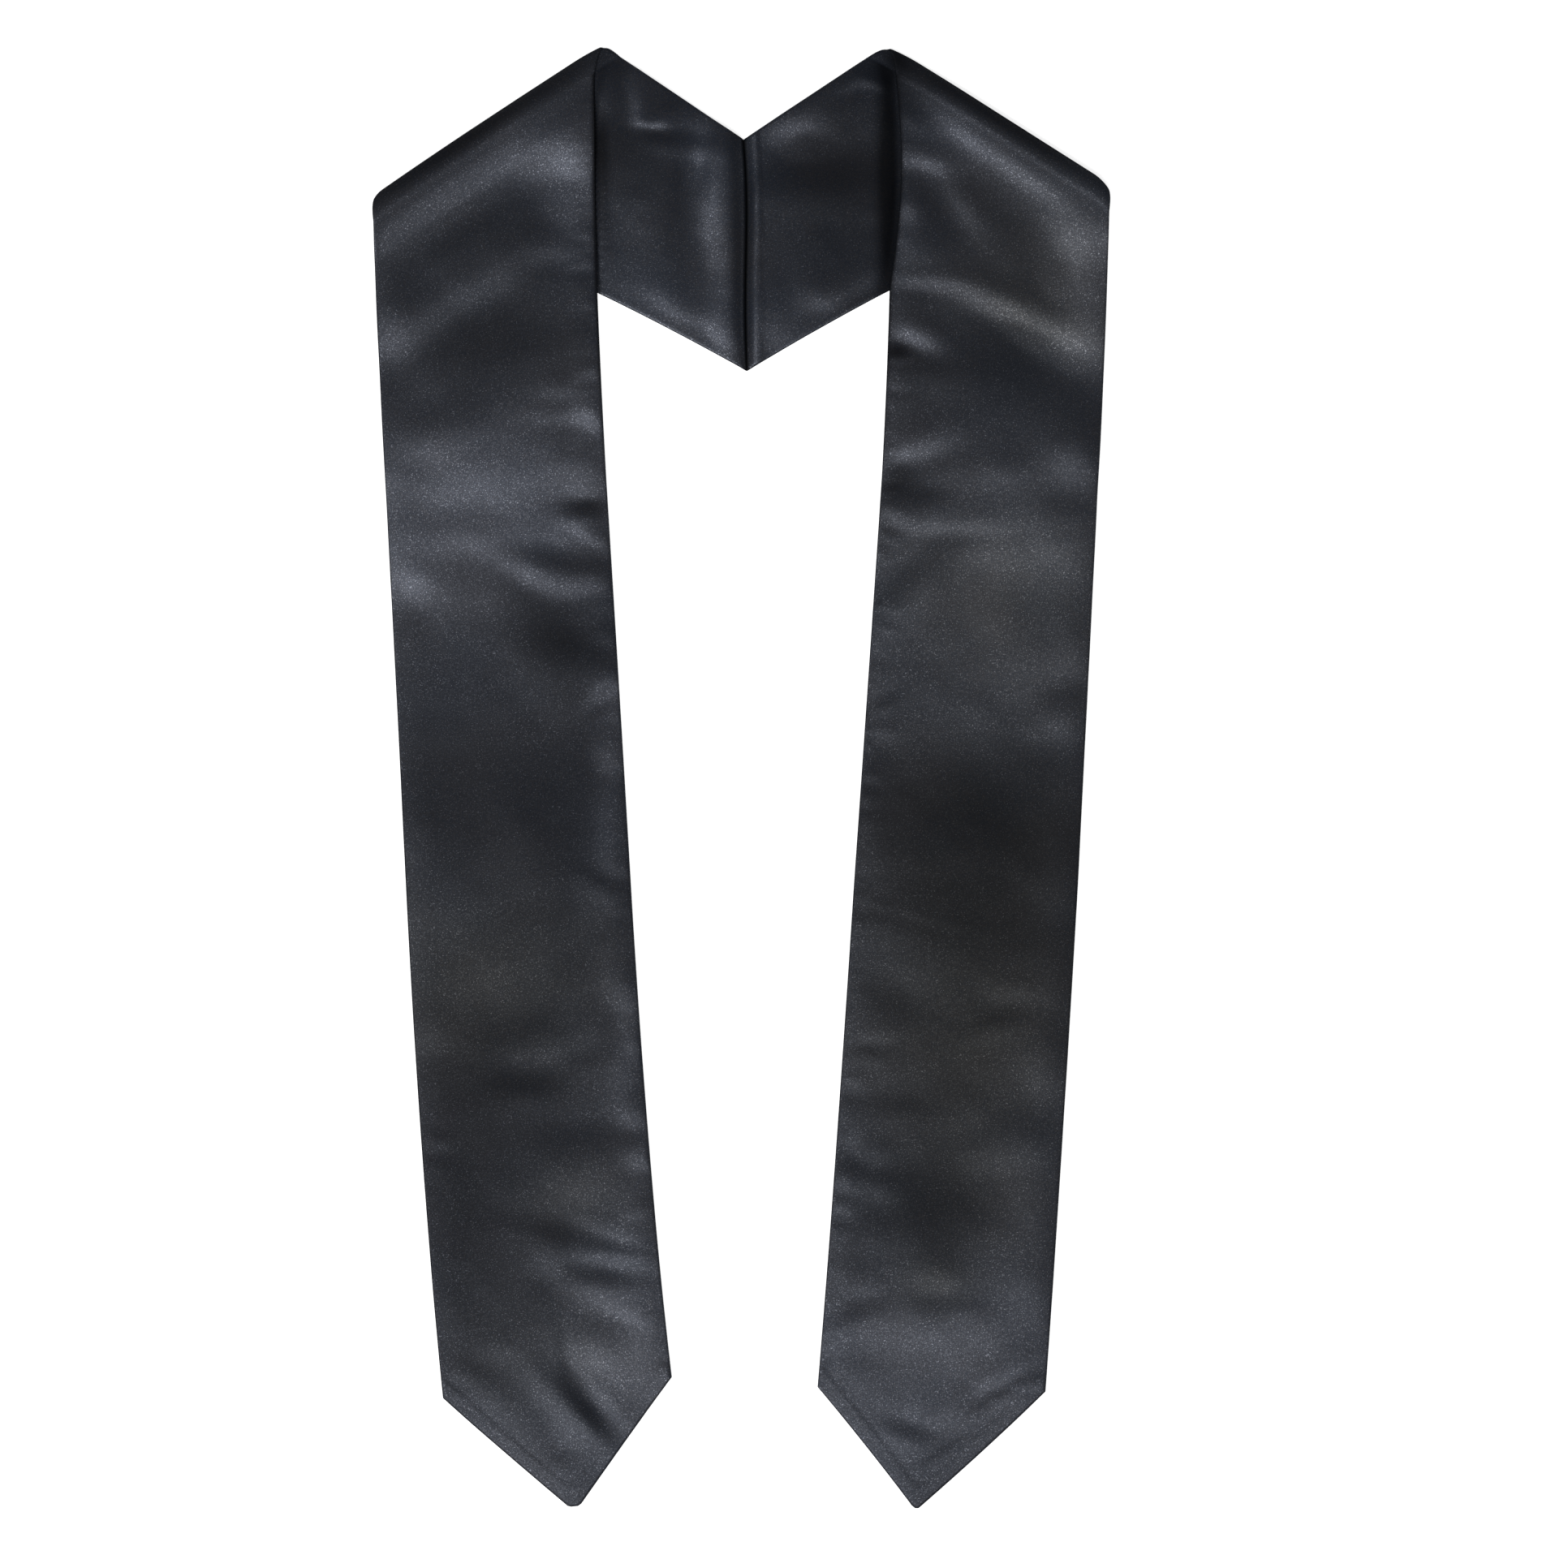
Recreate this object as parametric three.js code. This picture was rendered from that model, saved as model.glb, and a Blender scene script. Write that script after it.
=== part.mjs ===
// A graduation stole of black satin, laid flat as it comes out of its packet.
// Each half is one long strip that starts at the centre back seam, runs outwards across
// the nape, turns over at a soft shoulder fold and runs down to a pointed end.
// Each strip is two layers of satin, a face and a backing, sewn round their edges: the
// face is outside at the fold, so the neck shows the backing and the panels the face.
// Millimetres, +Z up from the table, +Y towards the neck, +X to the right of the view.

import * as THREE from "three";

const { clamp, degToRad, lerp, smoothstep } = THREE.MathUtils;

// Cloth
const CLOTH = 1; // thickness of one layer of satin
const CLEARANCE = 0.3; // gap between layers that are sewn, pressed or laid together
const RIM_BEVEL = 0.4; // the turned edge takes this much off the outer side of a layer
const EDGE_ROLL = 15; // the layers part over this distance from a sewn edge

// Strips
const WIDTH = 126;
const POINT_LENGTH = 65.5;
const PANEL_PUFF = 2; // how far the layers part in the middle of a panel

// Neck
const BACK_SEAM = 125; // centre back seam, from the notch down to the V point
const SEAM_SHIFT = 1.8; // the V point lies this far to the right of the notch
const NECK_BOW = 4.5; // the lower neck edge lies this far above a straight line
const NECK_PUFF = 1.2; // how far the layers part in the middle of the neck
const WELT_WIDTH = 6; // seam allowance of the back seam, pressed to one side
const WELT_RISE = 0.8;

// Shoulder fold
const FOLD_RISE = 40.7; // the inner top corner of a panel stands this far above the notch
const ROLL_DEPTH = 6; // the hollow of the soft roll reaches this far outwards
const ROLL_HEIGHT = 4.5; // and is this high
const ROLL_REACH = 58; // the panel comes down from the roll over this distance
const PEAK_RUN = 15; // the inner end of the roll leans inwards over this distance
const SAG_MARGIN = 6; // the panel stays up this far past the neck edge under it
const SAG_RUN = 42; // and comes down to the table over this distance

// How each half lies. In the rows of sections, along is a share of the panel's length,
// lean its angle towards the middle in degrees, and width a share of WIDTH.
const LAYS = {
  left: {
    side: -1, // the left half is laid out as a right one and mirrored
    length: 916, // from the back seam to the tip, down the middle of the strip
    innerOut: 81.6, // from the notch to the top of the panel's inner edge
    foldSlant: 33, // degrees from the panel's cross line to the fold
    sections: [
      { along: 0, lean: 0.3, width: 0.963 },
      { along: 0.12, lean: 1.2, width: 0.96 },
      { along: 0.25, lean: 3.4, width: 0.958 },
      { along: 0.55, lean: 3.1, width: 0.975 },
      { along: 0.8, lean: 4.9, width: 0.988 },
      { along: 0.93, lean: 6.6, width: 0.998 },
    ],
    peakReach: 3, // the inner end of the roll leans inwards by this much
    neckReach: 2, // and the neck under it by this much
    peakDrop: 0.6, // that end of the roll is rounded back, as the elbow is
    elbowRun: 9,
    elbowDrop: 4,
    endSkew: 2.3, // the inner side is longer by this much than the outer one
    tipFlat: 6, // the turned point is this blunt
    tipShift: -1.8, // and lies this far outwards of the middle
    weltRise: 0,
  },
  right: {
    side: 1,
    length: 921,
    innerOut: 83,
    foldSlant: 31,
    sections: [
      { along: 0, lean: 0.8, width: 0.945 },
      { along: 0.12, lean: 1.8, width: 0.942 },
      { along: 0.25, lean: 3.3, width: 0.938 },
      { along: 0.55, lean: 3.5, width: 0.97 },
      { along: 0.8, lean: 4, width: 0.98 },
      { along: 0.93, lean: 4.6, width: 0.988 },
    ],
    peakReach: 1.5,
    neckReach: 4,
    peakDrop: 0.8,
    elbowRun: 14,
    elbowDrop: 4.5,
    endSkew: 7.3,
    tipFlat: 2.5,
    tipShift: -3.3,
    weltRise: WELT_RISE,
  },
};

// Soft folds of the upper layer. along and across are shares of the strip's length and
// width, long and wide shares of WIDTH, turn is in degrees from the cross line, rise is
// the height of a ridge, and step that of a terrace, in millimetres.
const PANEL_FOLDS = {
  left: [
    { along: 0.13, across: 0.55, long: 0.55, wide: 0.13, turn: -33, rise: 0, step: 1.1 },
    { along: 0.2, across: 0.3, long: 0.4, wide: 0.16, turn: -20, rise: -1, step: 0 },
    { along: 0.27, across: 0.8, long: 0.3, wide: 0.2, turn: 8, rise: 0.8, step: 0.7 },
    { along: 0.33, across: 0.2, long: 0.25, wide: 0.12, turn: 10, rise: 0.8, step: 0 },
    { along: 0.45, across: 0.5, long: 0.5, wide: 0.3, turn: -10, rise: -1.1, step: 0 },
    { along: 0.64, across: 0.4, long: 0.5, wide: 0.25, turn: 25, rise: 0.9, step: 0 },
    { along: 0.78, across: 0.3, long: 0.3, wide: 0.12, turn: 10, rise: 0.7, step: 0.8 },
    { along: 0.84, across: 0.25, long: 0.35, wide: 0.1, turn: -15, rise: -0.9, step: 0 },
    { along: 0.93, across: 0.4, long: 0.4, wide: 0.12, turn: 40, rise: -0.9, step: 0.5 },
  ],
  right: [
    { along: 0.12, across: 0.5, long: 0.55, wide: 0.12, turn: -25, rise: 0, step: 1.1 },
    { along: 0.16, across: 0.1, long: 0.3, wide: 0.1, turn: 5, rise: 0.9, step: 0 },
    { along: 0.25, across: 0.85, long: 0.25, wide: 0.15, turn: -10, rise: 0.8, step: 0.5 },
    { along: 0.28, across: 0.15, long: 0.3, wide: 0.12, turn: 30, rise: -1, step: 0 },
    { along: 0.4, across: 0.6, long: 0.5, wide: 0.3, turn: 10, rise: 1, step: 0 },
    { along: 0.55, across: 0.5, long: 0.5, wide: 0.3, turn: -10, rise: -1.1, step: 0 },
    { along: 0.7, across: 0.4, long: 0.5, wide: 0.25, turn: -20, rise: 0.8, step: 0 },
    { along: 0.84, across: 0.5, long: 0.5, wide: 0.14, turn: 5, rise: -0.8, step: 0.6 },
    { along: 0.95, across: 0.5, long: 0.3, wide: 0.12, turn: -40, rise: -0.8, step: 0 },
  ],
};
const NECK_FOLDS = {
  left: [
    { along: 0.3, across: 0.5, long: 0.12, wide: 0.35, turn: -8, rise: 0.9, step: 0 },
    { along: 0.62, across: 0.15, long: 0.3, wide: 0.1, turn: 10, rise: -0.8, step: 0.4 },
  ],
  right: [
    { along: 0.35, across: 0.12, long: 0.3, wide: 0.12, turn: 20, rise: 0.7, step: 0 },
    { along: 0.55, across: 0.5, long: 0.3, wide: 0.25, turn: 0, rise: -0.8, step: 0 },
  ],
};

// Rows and columns of the net of points that both layers follow
const NECK_ROWS = 10;
const FOLD_ROWS = 8;
const PANEL_ROWS = 40;
const FIRST_ROW = 0.55; // the rows of a panel start this close, as a share of their mean
const EDGE_COLUMNS = [3, 9]; // distances from an edge
const INNER_COLUMNS = [0.2, 0.36]; // shares of the width
const MIDDLE_STEPS = 30; // pieces of the sum that gives the middle line of a panel

const LAID = CLOTH + CLEARANCE / 2; // middle of a pressed strip above what it lies on
const STRIP = 2 * (CLOTH + CLEARANCE); // what a pressed strip lifts the one above it
const ROLL_TOP = 3 * LAID + ROLL_HEIGHT; // middle of the strip at the top of the roll

// A value of a table at a share between its rows
function valueAt(rows, key, along) {
  const next = rows.find((row) => row.along > along) ?? rows.at(-1);
  const last = rows.findLast((row) => row.along <= along) ?? rows[0];
  const share = next === last ? 0 : (along - last.along) / (next.along - last.along);
  return lerp(last[key], next[key], share);
}

// The middle surface of one half, between its two layers, with the gap between them.
// In plan, x runs outwards from the back seam and y up from the notch. s is the share
// of the strip's width from its inner edge, and l a length down the panel.
class Half {
  constructor(name) {
    this.lay = LAYS[name];
    this.neckFolds = NECK_FOLDS[name];
    this.panelFolds = PANEL_FOLDS[name];
    this.panelLength = this.lay.length; // until the neck is measured
    this.start = new THREE.Vector2();
    const innerTop = this.panelPoint(this.foldLine(0), 0);
    this.start.set(this.lay.innerOut, FOLD_RISE).sub(innerTop);
    const innerCorner = this.panelPoint(this.foldLine(0), 0);
    const outerCorner = this.panelPoint(this.foldLine(1), 1);
    this.foldLength = outerCorner.distanceTo(innerCorner);
    this.foldDirection = outerCorner.sub(innerCorner).normalize();
    this.foldNormal = new THREE.Vector2(-this.foldDirection.y, this.foldDirection.x);
    const rollRadius = Math.hypot(ROLL_DEPTH, ROLL_HEIGHT / 2) * Math.SQRT1_2 + LAID;
    const rollArc = Math.PI * rollRadius;
    const stripToFold = Math.acos(this.foldDirection.dot(this.downAt(0)));
    this.foldShift = rollArc / Math.tan(stripToFold);
    const seamMiddle = new THREE.Vector2(0, -BACK_SEAM / 2);
    const neckLength = seamMiddle.distanceTo(this.neckEnd(0.5));
    this.panelLength = this.lay.length - neckLength - rollArc;
    this.neckWidth = BACK_SEAM * Math.cos(this.foldDirection.angle());
  }

  // The panel
  widthAt(l) {
    return WIDTH * valueAt(this.lay.sections, "width", l / this.panelLength);
  }
  leanAt(l) {
    return degToRad(valueAt(this.lay.sections, "lean", l / this.panelLength));
  }
  downAt(l) {
    return new THREE.Vector2(-Math.sin(this.leanAt(l)), -Math.cos(this.leanAt(l)));
  }
  acrossAt(l) {
    return new THREE.Vector2(Math.cos(this.leanAt(l)), -Math.sin(this.leanAt(l)));
  }
  panelPoint(l, s) {
    const point = this.start.clone();
    for (let i = 0.5; i < MIDDLE_STEPS; i++) {
      point.addScaledVector(this.downAt((i / MIDDLE_STEPS) * l), l / MIDDLE_STEPS);
    }
    return point.addScaledVector(this.acrossAt(l), (s - 0.5) * this.widthAt(l));
  }
  // Where it starts at the fold, and where it ends
  foldLine(s) {
    return (s - 0.5) * this.widthAt(0) * Math.tan(degToRad(this.lay.foldSlant));
  }
  topOf(s) {
    const rounding = (drop, share) => drop * clamp(1 - share, 0, 1) ** 2;
    const elbow = rounding(this.lay.elbowDrop, ((1 - s) * this.foldLength) / this.lay.elbowRun);
    const peak = rounding(this.lay.peakDrop, (s * this.foldLength) / PEAK_RUN);
    return this.foldLine(s) + elbow + peak;
  }
  endOf(s) {
    const tip = 0.5 + this.lay.tipShift / WIDTH;
    const flat = this.lay.tipFlat / WIDTH / 2;
    const rise = s < tip ? s / (tip - flat) : (1 - s) / (1 - tip - flat);
    const fromTip = 1 - clamp(rise, 0, 1);
    return this.panelLength - fromTip * (POINT_LENGTH + (s - 0.5) * this.lay.endSkew);
  }

  // The neck, from the back seam to where the fold starts
  foldTop(s) {
    return this.panelPoint(this.topOf(s), s);
  }
  neckEnd(s) {
    const shift = this.foldShift + this.lay.neckReach * this.peakShare(s);
    return this.foldTop(s).addScaledVector(this.foldDirection, -shift);
  }
  peakShare(s) {
    return clamp(1 - (s * this.foldLength) / PEAK_RUN, 0, 1);
  }
  seamX(s) {
    return this.lay.side * SEAM_SHIFT * s;
  }
  neckPoint(s, u) {
    const seam = new THREE.Vector2(this.seamX(s) + CLEARANCE / 2, -s * BACK_SEAM);
    const point = seam.lerp(this.neckEnd(s), u);
    point.y += 4 * NECK_BOW * s * u * (1 - u);
    return point;
  }
  // The panel's inner edge at a height of the plan
  innerEdgeAt(y) {
    const l = this.topOf(0) + Math.max(0, this.foldTop(0).y - y);
    return this.panelPoint(l, 0).x;
  }
  // The neck's lower edge at a distance from the back seam
  neckEdgeAt(x) {
    return this.neckPoint(1, clamp(x / this.neckEnd(1).x, 0, 1)).y;
  }

  // How far the layers stand apart, beyond their clearance
  parting(distance) {
    return 1 - (1 - clamp(distance / EDGE_ROLL, 0, 1)) ** 2;
  }
  foldsAt(folds, point, placeOf) {
    let height = 0;
    for (const fold of folds) {
      const offset = point.clone().sub(placeOf(fold));
      offset.rotateAround(new THREE.Vector2(), degToRad(-fold.turn));
      const p = offset.x / (fold.long * WIDTH);
      const q = offset.y / (fold.wide * WIDTH);
      height += (fold.rise + fold.step * q) * Math.exp((-p * p - q * q) / 2);
    }
    return height;
  }
  panelGap(s, l, point) {
    const placeOf = ({ along, across }) => this.panelPoint(along * this.panelLength, across);
    const side = this.parting(Math.min(s, 1 - s) * this.widthAt(l));
    const end = this.parting((this.endOf(s) - l) * Math.SQRT1_2);
    const fold = smoothstep(l - this.topOf(s), 0, ROLL_REACH / 2);
    const height = PANEL_PUFF + this.foldsAt(this.panelFolds, point, placeOf);
    return side * end * fold * Math.max(0, height);
  }
  neckGap(s, point) {
    const placeOf = ({ along, across }) => this.neckPoint(across, along);
    const side = this.parting(Math.min(s, 1 - s) * this.neckWidth);
    const fromSeam = point.x - this.seamX(s);
    const shown = this.innerEdgeAt(point.y) - point.x;
    const height = NECK_PUFF + this.foldsAt(this.neckFolds, point, placeOf);
    const open = this.parting(fromSeam) * smoothstep(shown, CLOTH, EDGE_ROLL);
    const welt = this.lay.weltRise * Math.sin(Math.PI * clamp(fromSeam / WELT_WIDTH, 0, 1));
    return side * (open * Math.max(0, height) + welt);
  }

  // Rows of the net: the middle surface, with the gap on the side that is on top
  neckRow(s, u) {
    const point = this.neckPoint(s, u);
    return { x: point.x, y: point.y, z: LAID, gap: { backing: this.neckGap(s, point) } };
  }
  // Half an ellipse of hollow, with half of the strip's thickness round it
  foldRow(s, share) {
    const angle = Math.PI * (share - 0.5);
    const round = new THREE.Vector2(ROLL_DEPTH * Math.cos(angle), (ROLL_HEIGHT / 2) * Math.sin(angle));
    const out = new THREE.Vector2((ROLL_HEIGHT / 2) * Math.cos(angle), ROLL_DEPTH * Math.sin(angle));
    round.addScaledVector(out.normalize(), LAID);
    const reach = this.lay.peakReach * this.peakShare(s) * Math.cos(angle);
    const point = this.foldTop(s)
      .lerp(this.neckEnd(s), 1 - share)
      .addScaledVector(this.foldDirection, -reach)
      .addScaledVector(this.foldNormal, round.x);
    const z = (LAID + ROLL_TOP) / 2 + round.y;
    return { x: point.x, y: point.y, z, gap: {} };
  }
  panelRow(s, v) {
    const l = lerp(this.topOf(s), this.endOf(s), v);
    const point = this.panelPoint(l, s);
    const past = this.neckEdgeAt(point.x) - point.y;
    const rest = LAID + STRIP * (1 - smoothstep(past, SAG_MARGIN, SAG_MARGIN + SAG_RUN));
    const down = smoothstep(l - this.topOf(s), 0, ROLL_REACH);
    const z = lerp(ROLL_TOP, rest, down);
    return { x: point.x, y: point.y, z, gap: { face: this.panelGap(s, l, point) } };
  }
  rows() {
    const rows = [];
    const weltEnd = WELT_WIDTH / this.neckEnd(0.5).x;
    for (const share of [0, 0.5]) rows.push((s) => this.neckRow(s, share * weltEnd));
    for (let i = 0; i < NECK_ROWS; i++) {
      rows.push((s) => this.neckRow(s, lerp(weltEnd, 1, i / NECK_ROWS)));
    }
    for (let i = 0; i < FOLD_ROWS; i++) rows.push((s) => this.foldRow(s, i / FOLD_ROWS));
    for (let i = 0; i <= PANEL_ROWS; i++) {
      const v = (i / PANEL_ROWS) * lerp(FIRST_ROW, 1, i / PANEL_ROWS);
      rows.push((s) => this.panelRow(s, v));
    }
    return rows;
  }
  columns() {
    const tip = 0.5 + this.lay.tipShift / WIDTH;
    const flat = this.lay.tipFlat / WIDTH / 2;
    const edge = [0, ...EDGE_COLUMNS.map((x) => x / WIDTH), ...INNER_COLUMNS];
    return [...edge, tip - flat, tip + flat, ...edge.map((s) => 1 - s).reverse()];
  }
}

// Unit normals of a net of points, on the side of the face
function netNormals(net) {
  const vector = ({ x, y, z }) => new THREE.Vector3(x, y, z);
  return net.map((row, r) =>
    row.map((_, c) => {
      const before = vector(net[Math.max(r - 1, 0)][c]);
      const after = vector(net[Math.min(r + 1, net.length - 1)][c]);
      const inner = vector(row[Math.max(c - 1, 0)]);
      const outer = vector(row[Math.min(c + 1, row.length - 1)]);
      return after.sub(before).cross(outer.sub(inner)).normalize();
    }),
  );
}

// A layer of cloth beside a net of points. Its outer side is lower at the rim, where the
// cloth turns in.
function clothGeometry(net, normals, layer) {
  const side = layer === "face" ? 1 : -1;
  const [rows, columns] = [net.length, net[0].length];
  const rimAt = (r, c) => r === 0 || c === 0 || r === rows - 1 || c === columns - 1;
  const positions = [];
  for (const depth of [CLOTH, 0]) {
    for (let r = 0; r < rows; r++) {
      for (let c = 0; c < columns; c++) {
        const { x, y, z, gap } = net[r][c];
        const bevel = depth > 0 && rimAt(r, c) ? RIM_BEVEL : 0;
        const reach = CLEARANCE / 2 + (gap[layer] ?? 0) + depth - bevel;
        const point = new THREE.Vector3(x, y, z);
        positions.push(...point.addScaledVector(normals[r][c], side * reach));
      }
    }
  }

  const at = (r, c) => r * columns + c;
  const inside = rows * columns;
  const triangles = [];
  const quad = (a, b, c, d) => {
    triangles.push(...(side > 0 ? [a, b, c, a, c, d] : [a, c, b, a, d, c]));
  };
  const rim = [];
  for (let c = 0; c < columns - 1; c++) rim.push(at(0, c));
  for (let r = 0; r < rows - 1; r++) rim.push(at(r, columns - 1));
  for (let c = columns - 1; c > 0; c--) rim.push(at(rows - 1, c));
  for (let r = rows - 1; r > 0; r--) rim.push(at(r, 0));
  for (let r = 0; r < rows - 1; r++) {
    for (let c = 0; c < columns - 1; c++) {
      const corners = [at(r, c), at(r + 1, c), at(r + 1, c + 1), at(r, c + 1)];
      quad(...corners);
      quad(...corners.reverse().map((i) => i + inside));
    }
  }
  rim.forEach((a, i) => {
    const b = rim[(i + 1) % rim.length];
    quad(a, b, b + inside, a + inside);
  });

  const geometry = new THREE.BufferGeometry();
  geometry.setAttribute("position", new THREE.Float32BufferAttribute(positions, 3));
  geometry.setIndex(triangles);
  geometry.computeVertexNormals();
  return geometry;
}

const MATERIALS = {
  face: new THREE.MeshStandardMaterial({ color: 0x2a2c31, roughness: 0.42, metalness: 0 }),
  backing: new THREE.MeshStandardMaterial({ color: 0x24262b, roughness: 0.5, metalness: 0 }),
};

function makeHalf(name) {
  const half = new Half(name);
  const columns = half.columns();
  const net = half.rows().map((row) => columns.map(row));
  const normals = netNormals(net);
  const group = new THREE.Group();
  for (const layer of ["face", "backing"]) {
    const mesh = new THREE.Mesh(clothGeometry(net, normals, layer), MATERIALS[layer]);
    mesh.name = `${name}_${layer}`;
    group.add(mesh);
  }
  group.scale.x = half.lay.side;
  return group;
}

const stole = new THREE.Group();
stole.add(makeHalf("left"), makeHalf("right"));

// The origin is on the table, under the middle of the stole.
const bounds = new THREE.Box3().setFromObject(stole);
const middle = bounds.getCenter(new THREE.Vector3());
stole.position.set(-middle.x, -middle.y, -bounds.min.z);

export default stole;
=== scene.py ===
import math
from collections import namedtuple

import bpy
import numpy as np
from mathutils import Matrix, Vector


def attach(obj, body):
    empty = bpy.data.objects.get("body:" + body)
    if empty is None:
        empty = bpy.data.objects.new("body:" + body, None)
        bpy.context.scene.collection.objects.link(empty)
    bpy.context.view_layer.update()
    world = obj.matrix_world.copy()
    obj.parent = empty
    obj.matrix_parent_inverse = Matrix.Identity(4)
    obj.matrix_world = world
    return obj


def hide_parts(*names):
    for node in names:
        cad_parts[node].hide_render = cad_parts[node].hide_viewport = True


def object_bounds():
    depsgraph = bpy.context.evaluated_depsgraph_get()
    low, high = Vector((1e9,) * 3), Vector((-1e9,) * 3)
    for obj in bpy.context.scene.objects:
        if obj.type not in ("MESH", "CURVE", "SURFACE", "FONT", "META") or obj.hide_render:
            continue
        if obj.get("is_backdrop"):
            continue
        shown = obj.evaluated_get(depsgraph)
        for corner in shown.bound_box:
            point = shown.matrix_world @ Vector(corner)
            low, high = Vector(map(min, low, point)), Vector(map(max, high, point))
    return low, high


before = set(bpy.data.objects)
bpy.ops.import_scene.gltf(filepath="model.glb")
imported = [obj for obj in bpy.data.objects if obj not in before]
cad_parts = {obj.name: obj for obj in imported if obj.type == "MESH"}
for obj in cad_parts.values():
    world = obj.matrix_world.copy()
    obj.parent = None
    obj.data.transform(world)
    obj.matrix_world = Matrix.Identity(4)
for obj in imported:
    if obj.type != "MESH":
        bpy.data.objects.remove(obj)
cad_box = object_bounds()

# The looks of a graduation stole of black satin, laid flat.
# The cloth is worked out in millimetres, in a plan whose x runs to the right and whose y
# runs up from the notch at the back of the neck. It follows the model's lay, with the
# fine folds, puckers and turned edges that the model leaves out.

MM = 0.001
PIXEL = 0.4437  # millimetres of the stole in a pixel of the photograph
PHOTO_SIDE = 1932  # pixels
PHOTO_ORIGIN = (913.5, 958.5)  # pixel of the photograph at the frame's origin

# Cloth
CLOTH = 0.6  # a layer of satin, drawn thinner than the model's solid
CLEARANCE = 0.2
RIM = 1.3  # the turned edge is rounded over this distance
RIM_REACH = 0.2  # half of the thickness that is left at the very edge
RIM_CLOTH = 0.25  # share of a layer's own thickness that is left there
EDGE_ROLL = 15  # the two layers part over this distance from a sewn edge
LAID = CLOTH + CLEARANCE / 2  # middle of a pressed strip above what it lies on
STRIP = 2 * (CLOTH + CLEARANCE)
FLOOR_BLEND = 0.16  # how softly a height is kept above zero, in square millimetres

# Strips
HALF_LENGTH = 918.5
WIDTH = 126
POINT_LENGTH = 65.5
PANEL_PUFF = 0.7
SWELL = 2.8  # mean rise of the whole strip's soft waves above the floor
FOLD_TILT = 1.5  # all tilts in the tables of folds are multiplied by this
SHOWN_RUN = {"left": 2.5, "right": 9}  # the neck's waves die out this far from the panel
CROSSING_GAP = {"left": 0.8, "right": 1.6}  # the panel stands this far off the neck below
EDGE_SWELL = 0.85  # share of the waves that is left at the strip's edges
PANEL_WAVES = [(0.5, 31), (0.16, 13)]  # height and length of its small random waves
PUCKER_RISE = 0.22  # of the small puckers along its inner edge
PUCKERS = [(1, 7), (0.6, 3.6)]  # share of that rise, and length
PUCKER_START = 3  # they begin over this distance from the edge
PUCKER_REACH = 9
CROSSING_PAINTED_SHADE = 0.6  # painted shade: the inner edge is darkened by this share where it crosses the neck
CROSSING_PAINTED_SHADE_RUN = 1.5

# Neck
BACK_SEAM = 126.6
SEAM_SHIFT = 1.8
NECK_BOW = 4.5
NECK_PUFF = 0.5
NECK_SWELL = 1.7
NECK_WAVES = [(0.25, 19), (0.1, 8)]
SEAM_RUN = 10  # the cloth dips towards the back seam over this distance
SEAM_DIP = {"left": 0.35, "right": 1}  # to this share of its height
GROOVE = {"left": (0.5, 2.2), "right": (1.2, 6.2)}  # floor and brink of the seam's groove
NECK_END = 12  # the neck's waves die out over this distance before the fold
SEAM_PAINTED_SHADE = 0.8  # painted shade: the satin is darkened by this share in the groove
SEAM_PAINTED_SHADE_RUN = 1.6
SEAM_WAVE = 1.7
SEAM_WAVE_LENGTH = 81
WELT_WIDTH = 7  # of the raised seam allowance beside the seam
WELT_SLOPE = 1.2
WELT_HIGHLIGHT = (0.7, 0.35)  # place and half width of its painted highlight line, as shares of its width
SEAM_OVERLAP = 0.05  # the two halves touch at the back seam

# Shoulder fold
FOLD_RISE = 37.1
ROLL_DEPTH = 9
ROLL_HEIGHT = 5.4
ROLL_PINCH = 0.12  # share of the roll's height that is left at the peak
ROLL_OPEN = 55  # the roll has its full height this far from the peak
ROLL_REACH = 45  # the panel comes down from the roll over this length
ROLL_BRINK = (2.5, 0.25)  # just inside the roll the cloth steps down over this run and height
SHOULDER_SWELL = 1.0  # the strip's soft waves rise from this to SWELL over SHOULDER_RUN
SHOULDER_RUN = 110
PEAK_RUN = 15  # the outline is shaped this far from the peak
SAG_MARGIN = 6  # the panel starts to sag to the floor this far past the neck below it
SAG_RUN = 110

BOW_SPAN = (-45, 84)  # the right panel's inner edge bows outwards between these lengths

# Turned ends
HEM = 9  # the turned-in allowance along the slanted ends, which shows as a low band
HEM_RISE = 0.22
HEM_EDGE = 1.5  # it rises over this distance from the end's edge
HEM_STEP = (1.2, 0.4)  # and drops from this far before its inner line to this far past it
HEM_SIDE = 2

# What differs between the halves. along is a share of the half's length, and at each of
# its values lean is in degrees from straight down and width a share of WIDTH. The welt may
# carry a painted highlight line.
LAYS = {
    "left": dict(
        side=-1, seed=10, longer=-2.5, inner_out=81.6, fold_slant=33, peak_reach=3, neck_reach=2,
        peak_drop=1.5, elbow_run=5, elbow_drop=1.8, arc=(6, 24), bow=0,
        end_skew=2.3, tip_flat=6, tip_shift=-1.8, welt_rise=0.1, welt_highlight=0,
        along=[0, 0.1, 0.205, 0.45, 0.655, 0.76],
        lean=[0.3, 2.4, 3.3, 3.1, 4.9, 6.6],
        width=[0.963, 0.96, 0.958, 0.975, 0.988, 0.998],
    ),
    "right": dict(
        side=1, seed=20, longer=2.5, inner_out=83, fold_slant=31, peak_reach=1.5, neck_reach=4,
        peak_drop=1.7, elbow_run=9, elbow_drop=3, arc=(6, 24), bow=4.9,
        end_skew=7.3, tip_flat=2.5, tip_shift=-3.3, welt_rise=1.0, welt_highlight=0.35,
        along=[0, 0.1, 0.205, 0.45, 0.655, 0.76],
        lean=[0.8, 1.8, 3.3, 3.5, 4, 4.6],
        width=[0.945, 0.942, 0.938, 0.97, 0.98, 0.988],
    ),
}

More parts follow.
